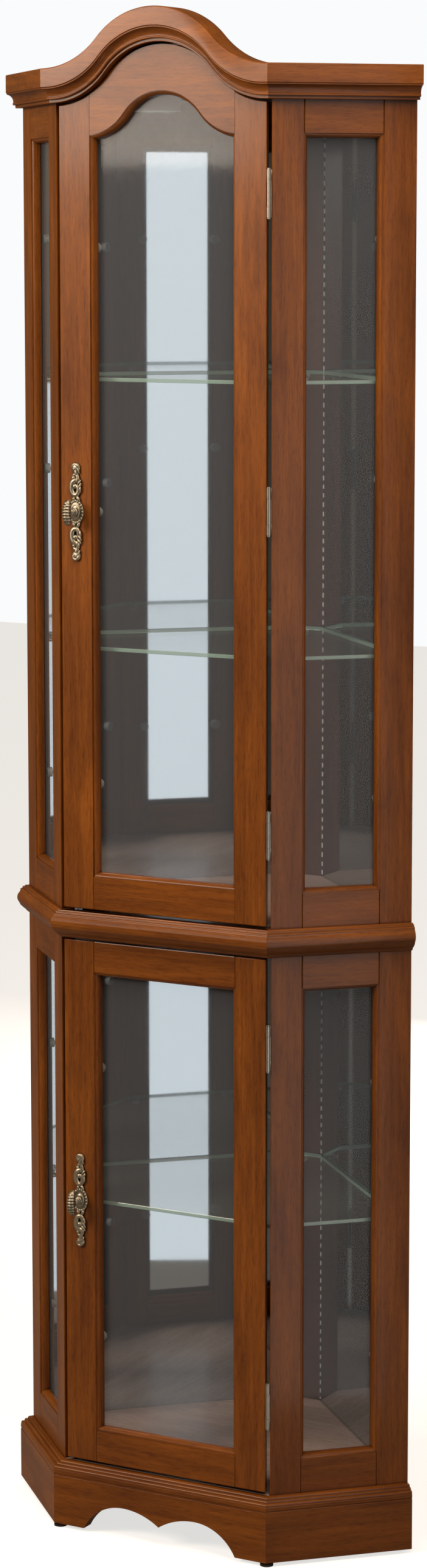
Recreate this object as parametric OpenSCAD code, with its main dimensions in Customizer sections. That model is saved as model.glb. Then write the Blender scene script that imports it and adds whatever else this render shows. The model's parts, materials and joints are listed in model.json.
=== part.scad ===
// Corner curio cabinet: five-sided plan, arched upper door, lower door,
// glazed side panels, mirrored backs and three glass shelves.
// Working frame: x across the front, y = 0 on the closed doors' front face
// and growing towards the room corner, z = 0 on the floor.

/* [Overall] */
// Half the distance between the two front corners
half_front = 141.3; // [135:0.1:150]
// Width of each canted side panel, corner to wall
side_w = 176.7; // [170:0.1:185]
// Height of the straight part of the crown
case_top = 1762; // [1750:1:1790]
// Rise of the crown's arch above its straight part
arch_rise = 67; // [55:1:75]
// Thickness of door and side frames
frame_t = 19; // [18:0.5:22]

/* [Levels] */
// Top of the lower deck and of the base moulding
base_top = 83; // [80:0.5:86]
// Underside of the waist moulding
waist_low = 735.8; // [733:0.1:738]
// Top of the waist moulding and of the upper deck
waist_top = 769.5; // [767:0.1:772]
// Underside of the straight crown moulding
crown_low = 1722.6; // [1720:0.1:1725]
// Lower edge of the crown's flat fascia
fascia_low = 1740.2; // [1738:0.1:1743]
// Underside of the roof board
roof_low = 1746; // [1744:1:1748]
// Height of the glides, which is where the woodwork starts
glide_h = 5; // [4:0.5:12]

/* [Frames] */
// Width of a door or side stile up to its moulded edge
stile_w = 41.8; // [38:0.1:46]
// Width of the rear side stiles
rear_stile_w = 40.1; // [38:0.1:44]
// Width of the moulded glazing edge
stick_w = 5.2; // [4:0.1:8]
// Side panel openings: low and high edge below the waist
side_low_open = [125, 697.6];
// Side panel openings: low and high edge above the waist
side_high_open = [810, 1685];
// Gap between door edge and side panel, across the corner
door_gap = 5.5; // [5:0.1:6]

/* [Doors] */
// Half the width of both doors
door_half = 138.3; // [137.5:0.1:138.5]
// Lower door: bottom and top edge
low_door = [86, 733.4];
// Lower door: low and high edge of the opening
low_door_open = [125.5, 696];
// Upper door: bottom edge, and its top edge where the arch starts
high_door = [772.2, 1720];
// Upper door: low edge of the opening, and where the arch of it starts
high_door_open = [812, 1685.2];
// Rise of the arch in the upper door's opening
pane_rise = 50; // [40:1:55]

/* [Glass] */
// Thickness of panes and mirrors
pane_t = 3; // [3:0.5:4]
// Thickness of the shelves
shelf_t = 5; // [4:0.5:6]
// Heights of the shelves' top faces
shelf_top = [1405, 1086, 409];

/* [Fittings] */
// Radius of the hinge knuckles
knuckle_r = 2.45; // [2.3:0.05:2.5]
// Radius of the hinge pins
pin_r = 1.1; // [1:0.05:1.2]
// Length of a hinge
hinge_len = 54; // [50:1:60]
// Middle heights of the upper door's hinges
high_hinges = [1617, 1256.5, 880.5];
// Middle heights of the lower door's hinges
low_hinges = [627.5, 193.5];
// Middle height of the upper and the lower handle
handle_z = [1247.6, 413];

/* [Hidden] */
$fn = 48;
eps = 0.01;
d45 = sqrt(0.5);
mitre = tan(22.5);
// Gap measured along a face, and its start on the side panel
panel_start = door_gap / 2 / cos(22.5);
stile_in = half_front - panel_start;
// Back board and mirror together, and the flat face of the corner post
board_t = 3;
back_t = board_t + pane_t;
post_half = 24;
post_y = 2 * side_w * d45 + half_front - back_t / d45 - post_half;
post_d = (half_front - post_half + post_y) * d45;
corner_cut = 5.2;
back_y = 2 * side_w * d45 + half_front - corner_cut;
// Glazing: depth of the moulded edge, of the pane's seat, and the rebate
stick_d = 9;
seat_d = 12;
rebate_w = 1.8;
pane_edge = 0.8;
pane_back = seat_d + pane_t;
rear_in = side_w - rear_stile_w;
door_in = door_half - stile_w + 0.3;
deck_t = 19;
// Overhangs of crown, waist and base beyond the case
crown_e = 20.9;
waist_e = 15.3;
base_e = 16.5;
crown_mid_e = 9.2;
// Half widths over which the three arches run
crown_half = 150;
crown_low_half = 142;
pane_half = 102;
backer_t = 17;
roof_notch = 105;
stop_y = frame_t + 1.5;
// Handles
plate_t = 2.6;
knob_reach = 22.5;
knob_r = 5.6;
knob_len = 32;
handle_x = -(door_half - 21);
front_y = -(knob_reach + knob_r);
mid_y = (back_y + front_y) / 2;
// Hinge axis, just proud of the mouth of the corner gap
axis_out = 0.6;
axis_x = half_front + axis_out * sin(22.5);
axis_y = -axis_out * cos(22.5);
leaf_t = 1.2;
leaf_in = 2.2;
leaf_out = 18;
knuckle_mid = 15;
knuckle_gap = 0.3;
pin_play = 0.05;
// Clips that hold the panes
clip_r = 6;
side_clip_z = [1566, 1290, 916];
door_clip_z = [1556, 1247, 922];
low_clip_z = [575, 240];
// Shelf outline and its pegs
shelf_front = 25;
shelf_side = 22;
shelf_back = 8;
peg_r = 2.5;
peg_t = [25, 152];
lamp_y = 150;
wood = "#8a5332";
wood_in = "#7a4a30";

// ---- frames of reference ----

// Puts the working frame's origin under the middle of the cabinet
module case() { translate([0, -mid_y, 0]) children(); }

// Side panel frame: x along the panel from the front corner, y inwards
module right_side() { case() translate([half_front, 0, 0]) rotate(45) children(); }
module left_side() { mirror([1, 0, 0]) right_side() children(); }
module both_sides() {
    right_side() children();
    left_side() children();
}

// Hinge frame: origin on the pin's axis, x into the corner gap, y to the door
module at_hinge(z) { case() translate([axis_x, axis_y, z]) rotate(112.5) children(); }

// Plan point of the right side panel's frame, given along and depth
function plan(along, depth) = [half_front + (along - depth) * d45, (along + depth) * d45];
function flip(points) = [for (i = [len(points) - 1:-1:0]) [-points[i][0], points[i][1]]];
function both(points) = concat(points, flip(points));

// Upright board whose outline is drawn as seen from the front
module upright(y0, y1) { translate([0, y1, 0]) rotate([90, 0, 0]) linear_extrude(y1 - y0) children(); }

// Horizontal board between two levels
module level(z0, z1) { translate([0, 0, z0]) linear_extrude(z1 - z0) children(); }

// Moulding of length l along x, drawn as overhang and height
module run(l) { rotate([90, 0, 90]) linear_extrude(l) mirror([1, 0]) children(); }

// ---- shared outlines ----

// Area below a double-curved arch: two hollows that meet a round crest
module under_arch(half, rise, low) {
    r = (half * half + rise * rise) / (4 * rise);
    difference() {
        union() {
            polygon([[-half, -low], [half, -low], [half, 0], [half / 2, rise / 2],
                     [-half / 2, rise / 2], [-half, 0]]);
            intersection() {
                translate([0, rise - r]) circle(r);
                translate([-half / 2, 0]) square([half, rise + 1]);
            }
        }
        for (side = [-1, 1])
            translate([side * half, r]) circle(r);
    }
}

// The same, carried on flat to a wider half width
module under_arch_wide(half, rise, low, wide) {
    under_arch(half, rise, low);
    for (side = [-1, 1])
        translate([side > 0 ? half - eps : -wide, -low]) square([wide - half + eps, low]);
}

// Mitred plan of the front mouldings, and of the side ones
module front_mitre(reach) {
    polygon([[-half_front, 0], [-half_front - reach * mitre, -reach],
             [half_front + reach * mitre, -reach], [half_front, 0]]);
}
module side_mitre(reach) { polygon([[0, 0], [-reach * mitre, -reach], [side_w, -reach], [side_w, 0]]); }

// Plan of a rail that fills the front between the two side panels
module front_fill(depth) {
    d = (depth / d45 - panel_start) / (1 + mitre);
    polygon(both([[half_front, 0], plan(panel_start, 0), plan(panel_start + d * mitre, d)]));
}

// Moulded edge of a frame: width from the frame's edge against depth
stick_line = [[-eps, 1], [0.8, 1], for (k = [0:5]) [0.8 + 4.2 * sin(k * 18), 9 - 7.4 * cos(k * 18)],
              [stick_w, stick_d], [stick_w, seat_d], [-eps, seat_d]];

// Moulded edge along z from z0 to z1, mitred at both ends
module stick(z0, z1) {
    intersection() {
        level(z0, z1) polygon(stick_line);
        upright(0, seat_d) polygon([[-eps, z0], [stick_w, z0 + stick_w], [stick_w, z1 - stick_w],
                                    [-eps, z1]]);
    }
}

// Rebate cut along z behind the moulded edge
module rebate(z0, z1) {
    translate([-rebate_w, seat_d, z0 - rebate_w])
        cube([rebate_w + 1, frame_t, z1 - z0 + 2 * rebate_w]);
}

// Turns a moulded edge or rebate from z onto a rail's edge, which runs along x
module on_rail_below(x, z) { translate([x, 0, z]) mirror([1, 0, -1]) children(); }
module on_rail_above(x, z) { translate([x, 0, z]) mirror([0, 0, 1]) mirror([1, 0, -1]) children(); }

// ---- side panels, in their own frame ----

module side_stile_plan() {
    polygon([[panel_start, 0], [stile_w, 0], [stile_w, frame_t],
             [panel_start + frame_t * mitre, frame_t]]);
}

module front_stile() {
    color(wood) difference() {
        union() {
            level(glide_h, roof_low) side_stile_plan();
            for (span = [side_low_open, side_high_open])
                translate([stile_w, 0, 0]) stick(span[0], span[1]);
        }
        for (span = [side_low_open, side_high_open])
            translate([stile_w, 0, 0]) rebate(span[0], span[1]);
    }
}

module rear_stile() {
    color(wood) difference() {
        union() {
            translate([rear_in, 0, glide_h]) cube([rear_stile_w, frame_t, roof_low - glide_h]);
            for (span = [side_low_open, side_high_open])
                translate([rear_in, 0, 0]) mirror([1, 0, 0]) stick(span[0], span[1]);
        }
        for (span = [side_low_open, side_high_open])
            translate([rear_in, 0, 0]) mirror([1, 0, 0]) rebate(span[0], span[1]);
    }
}

// Rail between the stiles; the moulded edges face the openings
module side_rail(z0, z1, opening_above, opening_below) {
    l = rear_in - stile_w;
    color(wood) difference() {
        union() {
            translate([stile_w, 0, z0]) cube([l, frame_t, z1 - z0]);
            if (opening_above)
                on_rail_below(stile_w, z1) stick(0, l);
            if (opening_below)
                on_rail_above(stile_w, z0) stick(0, l);
        }
        if (opening_above)
            on_rail_below(stile_w, z1) rebate(0, l);
        if (opening_below)
            on_rail_above(stile_w, z0) rebate(0, l);
    }
}

module side_top_rail() { side_rail(side_high_open[1], roof_low, false, true); }
module side_mid_rail() { side_rail(side_low_open[1], side_high_open[0], true, true); }
module side_bottom_rail() { side_rail(glide_h, side_low_open[0], true, false); }

module side_pane(span) {
    color("#cfe0dc", 0.35)
        translate([stile_w - pane_edge, seat_d, span[0] - pane_edge])
            cube([rear_in - stile_w + 2 * pane_edge, pane_t, span[1] - span[0] + 2 * pane_edge]);
}

// Round clip on the back of a stile; its foot reaches over the pane at +x
module clip(z) {
    translate([-rebate_w - 1, 0, z]) {
        rotate([-90, 0, 0]) translate([0, 0, frame_t]) cylinder(r = clip_r, h = 2.5);
        rotate([-90, 0, 0]) translate([0, 0, frame_t + 2.5]) cylinder(r = 2.6, h = 1.1);
        intersection() {
            rotate([-90, 0, 0]) translate([0, 0, pane_back]) cylinder(r = clip_r, h = frame_t - pane_back);
            translate([1.4, 0, -clip_r]) cube([clip_r, frame_t, 2 * clip_r]);
        }
    }
}

module side_clips() {
    color("#d8dcdc") for (z = concat(side_clip_z, low_clip_z)) {
        translate([stile_w, 0, 0]) clip(z);
        translate([rear_in, 0, 0]) mirror([1, 0, 0]) clip(z);
    }
}

// ---- case boards ----

// Plan inside the side panels and back boards, from a given front edge
function deck_plan(front) = both([
    front, plan(panel_start + frame_t * mitre, frame_t), plan(side_w - board_t, frame_t),
    plan(side_w - board_t, post_d), [post_half, post_y]]);

// The roof is cut back in the middle, where the upper door's arch stands behind the crown
module roof_board() {
    d = (backer_t / d45 - panel_start) / (1 + mitre);
    color(wood_in) level(roof_low, case_top)
        polygon(both([[roof_notch, stop_y], [roof_notch, backer_t], plan(panel_start + d * mitre, d),
                      plan(panel_start, 0), plan(side_w, 0), [corner_cut, back_y]]));
}

module waist_deck() {
    d = (frame_t / d45 - panel_start) / (1 + mitre);
    color(wood_in) level(waist_top - deck_t, waist_top)
        polygon(deck_plan(plan(panel_start + d * mitre, d)));
}

module bottom_deck() {
    color(wood_in) level(base_top - deck_t, base_top)
        polygon(both(concat([[half_front, 0], plan(panel_start, 0)],
            [plan(panel_start + frame_t * mitre, frame_t), plan(side_w - board_t, frame_t),
             plan(side_w - board_t, post_d), [post_half, post_y]])));
}

module corner_post() {
    color(wood_in) level(glide_h, roof_low)
        polygon(both([[post_half, post_y], plan(side_w, post_d), [corner_cut, back_y]]));
}

// One back board and one mirror, in the side panel's frame
module back_board() {
    color("#5d4632") translate([side_w - board_t, frame_t, glide_h])
        cube([board_t, post_d - frame_t, roof_low - glide_h]);
}
module mirror_sheet(z0, z1) {
    color("#c8d0d4") translate([side_w - back_t, frame_t, z0])
        cube([pane_t, post_d - frame_t, z1 - z0]);
}

// ---- crown ----

// Overhang and level of the crown's lower edge, from the case outwards
crown_steps = [[0, 0], [crown_mid_e, 3.6], [11.2, 8.4], [13, 10.4], [15.5, 12.9], [18, 15.4],
               [19.6, fascia_low - crown_low]];
crown_line = [[0, 0], [8.4, 0], [9, 0.6], [crown_mid_e, 3.6], [11, 3.9], [12, 4.6], [11.9, 5.6],
              [11, 6], [11.4, 7.2], [12.6, 9], [14.6, 10.6], [17, 12.2], [18.8, 14.4],
              [19.4, 16.4], [19.6, fascia_low - crown_low], [crown_e, fascia_low - crown_low],
              [crown_e, case_top - crown_low], [0, case_top - crown_low]];

module crown_front() {
    last = len(crown_steps) - 1;
    color(wood) case() intersection() {
        level(crown_low - 1, case_top + arch_rise + 1) front_mitre(crown_e);
        for (i = [0:last])
            upright(i == last ? -crown_e : -crown_steps[i + 1][0], -crown_steps[i][0])
                difference() {
                    translate([0, case_top]) under_arch_wide(crown_half, arch_rise, 60, crown_half + 10);
                    translate([0, crown_low + crown_steps[i][1]])
                        under_arch_wide(crown_low_half, arch_rise, 90, crown_half + 20);
                }
    }
}

// Backing board of the arch, with a low stop behind it that closes the gap over the door
module crown_backer() {
    color(wood) case() union() {
        intersection() {
            level(crown_low - 1, case_top + arch_rise + 1) front_fill(backer_t);
            upright(0, backer_t) difference() {
                translate([0, case_top]) under_arch_wide(crown_half, arch_rise, 60, crown_half + 10);
                translate([0, crown_low]) under_arch_wide(crown_low_half, arch_rise, 90, crown_half + 20);
            }
        }
        upright(backer_t, stop_y) difference() {
            stop_outline();
            translate([0, crown_low]) under_arch_wide(crown_low_half, arch_rise, 90, crown_half + 20);
        }
        upright(stop_y, stop_y + 4) stop_outline();
    }
}

// Outline of the stop: what stands above the roof board, kept below the arch's top
module stop_outline() {
    intersection() {
        translate([0, case_top - 8]) under_arch(crown_half, arch_rise, 1);
        translate([-crown_half, case_top]) square([2 * crown_half, arch_rise]);
    }
}

// Straight moulding on a side panel from its profile
module side_run(z, reach) {
    intersection() {
        translate([-reach, 0, z]) run(side_w + reach) children();
        level(z - 1, z + 80) side_mitre(reach + 1);
    }
}

module crown_side() { color(wood) side_run(crown_low, crown_e) polygon(crown_line); }

// ---- waist ----

waist_line = [[0, 0], [1.5, 0], [4, 2.5], [4.8, 4.2], [6.4, 4.4], [8.2, 6.2], [12.3, 10.2],
              [14.6, 13.4], [waist_e, 17.4], [waist_e, 21], [14.5, 24], [13, 26.2], [12, 26.6],
              [11.6, 28], [10.6, 29], [9.2, 29.4], [8.6, 30.6], [7.6, 31.8], [6, 32.2],
              [5.2, 33.7], [0, 33.7]];

module waist_rail_front() {
    color(wood) case() union() {
        intersection() {
            translate([-half_front - 20, 0, waist_low]) run(2 * half_front + 40) polygon(waist_line);
            level(waist_low - 1, waist_top + 1) front_mitre(waist_e + 1);
        }
        level(waist_low, waist_top) front_fill(frame_t);
    }
}

module waist_side() { color(wood) side_run(waist_low, waist_e) polygon(waist_line); }

// ---- base ----

// Three reeds on the sloping top of the base, then the board's face
base_line = concat([[0, glide_h], [base_e, glide_h], [base_e, 66], [base_e - 0.8, 66.6],
    [base_e - 0.8, 69.6], [base_e, 70.2], [base_e, 73.6]],
    [for (reed = [0:2]) for (k = [0:3])
        [base_e - 0.6 - reed * 4.6 - k * 1.3, 74.2 + reed * 2.9 + 0.95 * k + (k % 3 == 0 ? 0 : 0.9)]],
    [[1.8, base_top], [0, base_top]]);

module base_side() { color(wood) side_run(0, base_e) polygon(base_line); }

// Front board with two shallow arches that meet in a point
module base_apron_front() {
    apex = [50, 39.5];
    inner_r = 88.4;
    outer_r = 62;
    color(wood) case() difference() {
        intersection() {
            translate([-half_front - 20, 0, 0]) run(2 * half_front + 40) polygon(base_line);
            level(0, base_top + 1) front_mitre(base_e + 1);
        }
        for (side = [0, 1])
            mirror([side, 0, 0]) upright(-base_e - 1, 1) {
                intersection() {
                    translate([apex[0], apex[1] - inner_r]) circle(inner_r);
                    square([apex[0] + eps, apex[1] + 1]);
                }
                intersection() {
                    translate([apex[0], apex[1] - outer_r]) circle(outer_r);
                    translate([apex[0], 0]) square([outer_r, apex[1] + 1]);
                }
            }
    }
}

module floor_glides() {
    color("#2a2320") case() for (p = [[144.4, -7.4], [-144.4, -7.4], plan(158, 6),
                                       [-plan(158, 6)[0], plan(158, 6)[1]], [0, post_y + 11]])
        translate(p) {
            cylinder(r = 8, h = glide_h - 2);
            translate([0, 0, glide_h - 2]) cylinder(r = 5.5, h = 2);
        }
}

// ---- shelves, pegs, lamp ----

module shelf(i) {
    side_pt = plan(shelf_side * mitre + 4.5, shelf_side);
    color("#bcd8cf", 0.4) case() level(shelf_top[i] - shelf_t, shelf_top[i])
        polygon(both([[side_pt[0] - (side_pt[1] - shelf_front), shelf_front],
                      plan(157, shelf_side), plan(side_w - shelf_back, shelf_side + 12),
                      plan(side_w - shelf_back, post_d - 4), [post_half - 2, post_y - 2]]));
}

// Peg with a round plate, standing out along +y from y = 0, top at z = 0
module peg() {
    rotate([-90, 0, 0]) {
        translate([0, peg_r, 0]) cylinder(r = peg_r, h = 11);
        translate([0, peg_r, 0]) cylinder(r = 5, h = 1.2);
    }
}

module shelf_pegs() {
    color("#c8ccca") for (z = shelf_top) {
        both_sides() for (along = peg_t)
            translate([along, frame_t, z - shelf_t]) peg();
        case() translate([0, post_y, z - shelf_t]) rotate(180) peg();
    }
}

module lamp_housing() {
    color("#d9d9d6") case() translate([0, lamp_y, roof_low - 20]) difference() {
        cylinder(r = 34, h = 20);
        translate([0, 0, -1]) cylinder(r = 29, h = 5);
    }
}

module lamp_lens() { color("#f4f1e6") case() translate([0, lamp_y, roof_low - 19]) cylinder(r = 28.6, h = 3); }

// ---- hinges and catches ----

// Leaf on one side of the gap: side is 1 for the door and -1 for the frame
module leaf_plate(side) {
    translate([leaf_in, side > 0 ? door_gap / 2 - leaf_t : -door_gap / 2, -hinge_len / 2])
        cube([leaf_out - leaf_in, leaf_t, hinge_len]);
}

module knuckle(side, z0, z1) {
    difference() {
        union() {
            translate([0, 0, z0]) cylinder(r = knuckle_r, h = z1 - z0);
            translate([1.4, side > 0 ? door_gap / 2 - leaf_t : -door_gap / 2, z0])
                cube([leaf_in, leaf_t, z1 - z0]);
        }
        translate([0, 0, z0 - 1]) cylinder(r = pin_r + pin_play, h = z1 - z0 + 2);
    }
}

module frame_leaf(z) {
    at_hinge(z) {
        leaf_plate(-1);
        knuckle(-1, -knuckle_mid, knuckle_mid);
    }
}

module door_leaf(z) {
    at_hinge(z) {
        leaf_plate(1);
        knuckle(1, -hinge_len / 2, -knuckle_mid - knuckle_gap);
        knuckle(1, knuckle_mid + knuckle_gap, hinge_len / 2);
    }
}

module hinge_frame_leaves() { color("#cfc8b8") for (z = concat(high_hinges, low_hinges)) frame_leaf(z); }
module upper_door_leaves() { color("#cfc8b8") for (z = high_hinges) door_leaf(z); }
module lower_door_leaves() { color("#cfc8b8") for (z = low_hinges) door_leaf(z); }

module hinge_pins() {
    color("#cfc8b8") for (z = concat(high_hinges, low_hinges)) at_hinge(z) {
        translate([0, 0, -hinge_len / 2 - 1]) cylinder(r = pin_r, h = hinge_len + 2);
        for (tip = [-1, 1])
            translate([0, 0, tip * (hinge_len / 2 + 1) - 0.6]) cylinder(r = 2.2, h = 1.2);
    }
}

catch_x = -111;
module magnetic_catches() {
    color("#3a3431") case() for (z = [waist_top, base_top])
        translate([catch_x - 14, frame_t + 2, z]) {
            cube([28, 13, 12]);
            translate([-4, 4, 0]) cube([36, 9, 2]);
        }
}

module strike(z) {
    color("#b9b9b4") case() translate([catch_x - 10, frame_t, z]) cube([20, 1.4, 8]);
}

// ---- doors ----

// Stile on the +x side; the -x one is its mirror image
module door_stile(span, open) {
    level(span[0], span[1])
        polygon([[door_in, 0], [door_half, 0], [door_half - frame_t * mitre, frame_t], [door_in, frame_t]]);
    translate([door_in, 0, 0]) mirror([1, 0, 0]) stick(open[0], open[1]);
}
module door_stile_rebate(open) { translate([door_in, 0, 0]) mirror([1, 0, 0]) rebate(open[0], open[1]); }

// Upper stiles: the top follows the arch, the moulded edge ends at the pane's arch
module arched_stile() {
    color(wood) case() difference() {
        union() {
            intersection() {
                door_stile([high_door[0], high_door[1] + 20], [high_door_open[0], high_door_open[1] + 40]);
                union() {
                    upright(0, frame_t) translate([0, high_door[1]])
                        under_arch(crown_low_half, arch_rise, 1000);
                }
                union() {
                    translate([door_in, -1, 0]) cube([60, 60, 2000]);
                    upright(0, frame_t) translate([0, high_door_open[1]])
                        under_arch(pane_half, pane_rise, 1000);
                }
            }
        }
        door_stile_rebate([high_door_open[0], high_door_open[1]]);
    }
}

// Depth bands of the arched moulded edge, with the width each one adds
arch_bands = [[1, 2.6], [2.8, 3.9], [4.8, 4.8], [7.4, stick_w]];

module upper_door_arched_rail() {
    sight = door_in - stick_w;
    last = len(arch_bands) - 1;
    color(wood) case() union() {
        for (band = [[0, seat_d, 0], [seat_d, frame_t, rebate_w]])
            upright(band[0], band[1]) difference() {
                intersection() {
                    translate([0, high_door[1]]) under_arch(crown_low_half, arch_rise, 100);
                    translate([-door_in, 1600]) square([2 * door_in, 300]);
                }
                translate([0, high_door_open[1] + band[2]]) under_arch(pane_half, pane_rise, 100);
            }
        for (i = [0:last])
            upright(arch_bands[i][0], i == last ? seat_d : arch_bands[i + 1][0]) difference() {
                intersection() {
                    translate([0, high_door_open[1] + eps]) under_arch(pane_half, pane_rise, 20);
                    translate([-sight, 1600]) square([2 * sight, 300]);
                }
                translate([0, high_door_open[1] - arch_bands[i][1]]) under_arch(pane_half, pane_rise, 100);
            }
    }
}

// Straight rail between the door stiles
module door_rail(z0, z1, opening_above) {
    color(wood) case() difference() {
        union() {
            translate([-door_in, 0, z0]) cube([2 * door_in, frame_t, z1 - z0]);
            if (opening_above)
                on_rail_below(-door_in, z1) stick(0, 2 * door_in);
            else
                on_rail_above(-door_in, z0) stick(0, 2 * door_in);
        }
        if (opening_above)
            on_rail_below(-door_in, z1) rebate(0, 2 * door_in);
        else
            on_rail_above(-door_in, z0) rebate(0, 2 * door_in);
    }
}

module lower_stile() {
    color(wood) case() difference() {
        door_stile(low_door, low_door_open);
        door_stile_rebate(low_door_open);
    }
}

module upper_door_glass() {
    edge = door_in + pane_edge;
    color("#cfe0dc", 0.35) case() upright(seat_d, pane_back) intersection() {
        translate([0, high_door_open[1] + pane_edge]) under_arch(pane_half, pane_rise, 1000);
        translate([-edge, high_door_open[0] - pane_edge]) square([2 * edge, 1000]);
    }
}

module lower_door_glass() {
    edge = door_in + pane_edge;
    color("#cfe0dc", 0.35) case()
        translate([-edge, seat_d, low_door_open[0] - pane_edge])
            cube([2 * edge, pane_t, low_door_open[1] - low_door_open[0] + 2 * pane_edge]);
}

module door_clips(heights) {
    color("#d8dcdc") case() for (side = [0, 1]) mirror([side, 0, 0])
        for (z = heights) translate([-door_in, 0, 0]) clip(z);
}

// Pierced scroll plate: rosette, C scrolls and a shell at each end
module backplate(z) {
    color("#7d6a45") case() translate([handle_x, 0, z]) rotate([90, 0, 0]) {
        cylinder(r = 11, h = plate_t + 1);
        cylinder(r = 8, h = plate_t + 2.4);
        for (way = [-1, 1]) {
            translate([1, way * 19, 0]) difference() {
                cylinder(r = 9, h = plate_t);
                translate([1.5, 0, -1]) cylinder(r = 5, h = plate_t + 2);
            }
            translate([-1.5, way * 31 - 4, 0]) cube([3, 8, plate_t]);
            translate([0, way * 39, 0]) difference() {
                cylinder(r = 6.5, h = plate_t);
                translate([1, 0, -1]) cylinder(r = 2.6, h = plate_t + 2);
            }
            translate([0, way * 51.5, 0]) cylinder(r = 7, h = plate_t);
            translate([-1.5, way * 45 - 1, 0]) cube([3, 3, plate_t]);
        }
    }
}

// Upright bow knob on a short turned stem
module knob(z) {
    color("#7d6a45") case() translate([handle_x, 0, z]) {
        translate([0, -plate_t - 2.4, 0]) rotate([90, 0, 0]) cylinder(r = 4.4, h = knob_reach - plate_t - 4);
        translate([0, -knob_reach, 0]) rotate([0, 0, 0]) {
            translate([0, 0, -knob_len / 2 + knob_r]) cylinder(r = knob_r, h = knob_len - 2 * knob_r);
            for (end = [-1, 1])
                translate([0, 0, end * (knob_len / 2 - knob_r)]) sphere(knob_r);
        }
    }
}

left_side() front_stile();  // left_front_stile
left_side() rear_stile();  // left_rear_stile
left_side() side_top_rail();  // left_top_rail
left_side() side_mid_rail();  // left_mid_rail
left_side() side_bottom_rail();  // left_bottom_rail
right_side() front_stile();  // right_front_stile
right_side() rear_stile();  // right_rear_stile
right_side() side_top_rail();  // right_top_rail
right_side() side_mid_rail();  // right_mid_rail
right_side() side_bottom_rail();  // right_bottom_rail
case() roof_board();
case() waist_deck();
case() bottom_deck();
case() corner_post();
both_sides() back_board();  // back_boards
crown_front();
crown_backer();
left_side() crown_side();  // crown_left
right_side() crown_side();  // crown_right
waist_rail_front();
left_side() waist_side();  // waist_moulding_left
right_side() waist_side();  // waist_moulding_right
base_apron_front();
left_side() base_side();  // base_board_left
right_side() base_side();  // base_board_right
floor_glides();
both_sides() side_pane(side_high_open);  // upper_side_glass
both_sides() side_pane(side_low_open);  // lower_side_glass
both_sides() mirror_sheet(waist_top, roof_low);  // upper_mirrors
both_sides() mirror_sheet(base_top, waist_top - deck_t);  // lower_mirrors
both_sides() side_clips();  // side_glass_clips
shelf(0);  // top_shelf
shelf(1);  // middle_shelf
shelf(2);  // lower_shelf
shelf_pegs();
lamp_housing();
lamp_lens();
hinge_frame_leaves();
hinge_pins();
magnetic_catches();
arched_stile();  // upper_door_hinge_stile
mirror([1, 0, 0]) arched_stile();  // upper_door_handle_stile
upper_door_arched_rail();
door_rail(high_door[0], high_door_open[0], true);  // upper_door_bottom_rail
upper_door_glass();
door_clips(door_clip_z);  // upper_door_clips
upper_door_leaves();
strike(high_door[0] + 1);  // upper_door_strike
backplate(handle_z[0]);  // upper_backplate
knob(handle_z[0]);  // upper_knob
lower_stile();  // lower_door_hinge_stile
mirror([1, 0, 0]) lower_stile();  // lower_door_handle_stile
door_rail(low_door_open[1], low_door[1], false);  // lower_door_top_rail
door_rail(low_door[0], low_door_open[0], true);  // lower_door_bottom_rail
lower_door_glass();
door_clips(low_clip_z);  // lower_door_clips
lower_door_leaves();
strike(low_door[0] + 1);  // lower_door_strike
backplate(handle_z[1]);  // lower_backplate
knob(handle_z[1]);  // lower_knob
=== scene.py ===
"""Looks for the corner curio cabinet: eased and moulded woodwork, glass, mirrors and brass."""

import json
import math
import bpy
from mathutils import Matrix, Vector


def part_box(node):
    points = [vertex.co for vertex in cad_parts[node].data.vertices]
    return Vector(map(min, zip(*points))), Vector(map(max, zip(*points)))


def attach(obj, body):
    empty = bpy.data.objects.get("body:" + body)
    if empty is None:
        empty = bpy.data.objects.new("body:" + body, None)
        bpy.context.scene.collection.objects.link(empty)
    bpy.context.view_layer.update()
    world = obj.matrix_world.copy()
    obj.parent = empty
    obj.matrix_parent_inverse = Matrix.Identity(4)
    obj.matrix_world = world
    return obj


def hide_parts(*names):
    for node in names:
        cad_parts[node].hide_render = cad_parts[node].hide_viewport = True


bl_info = {
    "name": "Corner Curio Cabinet",
    "version": (1, 0, 0),
    "blender": (4, 5, 0),
    "location": "3D View > Sidebar > Cabinet",
    "description": "Builds the woodwork, glazing and fittings of a corner curio cabinet",
    "category": "Object",
}

import bmesh
import bpy
from mathutils import Matrix, Vector

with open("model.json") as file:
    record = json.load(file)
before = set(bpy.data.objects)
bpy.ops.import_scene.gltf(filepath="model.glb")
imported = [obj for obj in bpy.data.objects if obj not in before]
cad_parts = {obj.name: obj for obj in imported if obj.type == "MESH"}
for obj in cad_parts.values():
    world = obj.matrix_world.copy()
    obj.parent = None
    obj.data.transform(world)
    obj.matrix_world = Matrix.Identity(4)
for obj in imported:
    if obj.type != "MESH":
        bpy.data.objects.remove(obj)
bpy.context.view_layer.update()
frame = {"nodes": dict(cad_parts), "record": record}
NODES = frame["nodes"]
MM = 0.001


def box(node):
    """Lowest and highest corner of a frame node, as vectors."""
    low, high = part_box(node)
    return Vector(low), Vector(high)


# Faces and levels that the looks are hung on, all from the frame
FRONT_Y = box("lower_door_bottom_rail")[0].y
WAIST_LOW = box("waist_rail_front")[0].z
CROWN_LOW = box("crown_right")[0].z
CASE_TOP = box("crown_right")[1].z
CROWN_PEAK = box("crown_front")[1].z
GLIDE_H = box("base_board_right")[0].z
DOOR_IN = box("lower_door_bottom_rail")[1].x
# Half the distance between the front corners, and the width of a side panel
HALF = 141.3 * MM
SIDE_W = 176.7 * MM
ARCH_RISE = CROWN_PEAK - CASE_TOP
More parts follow.
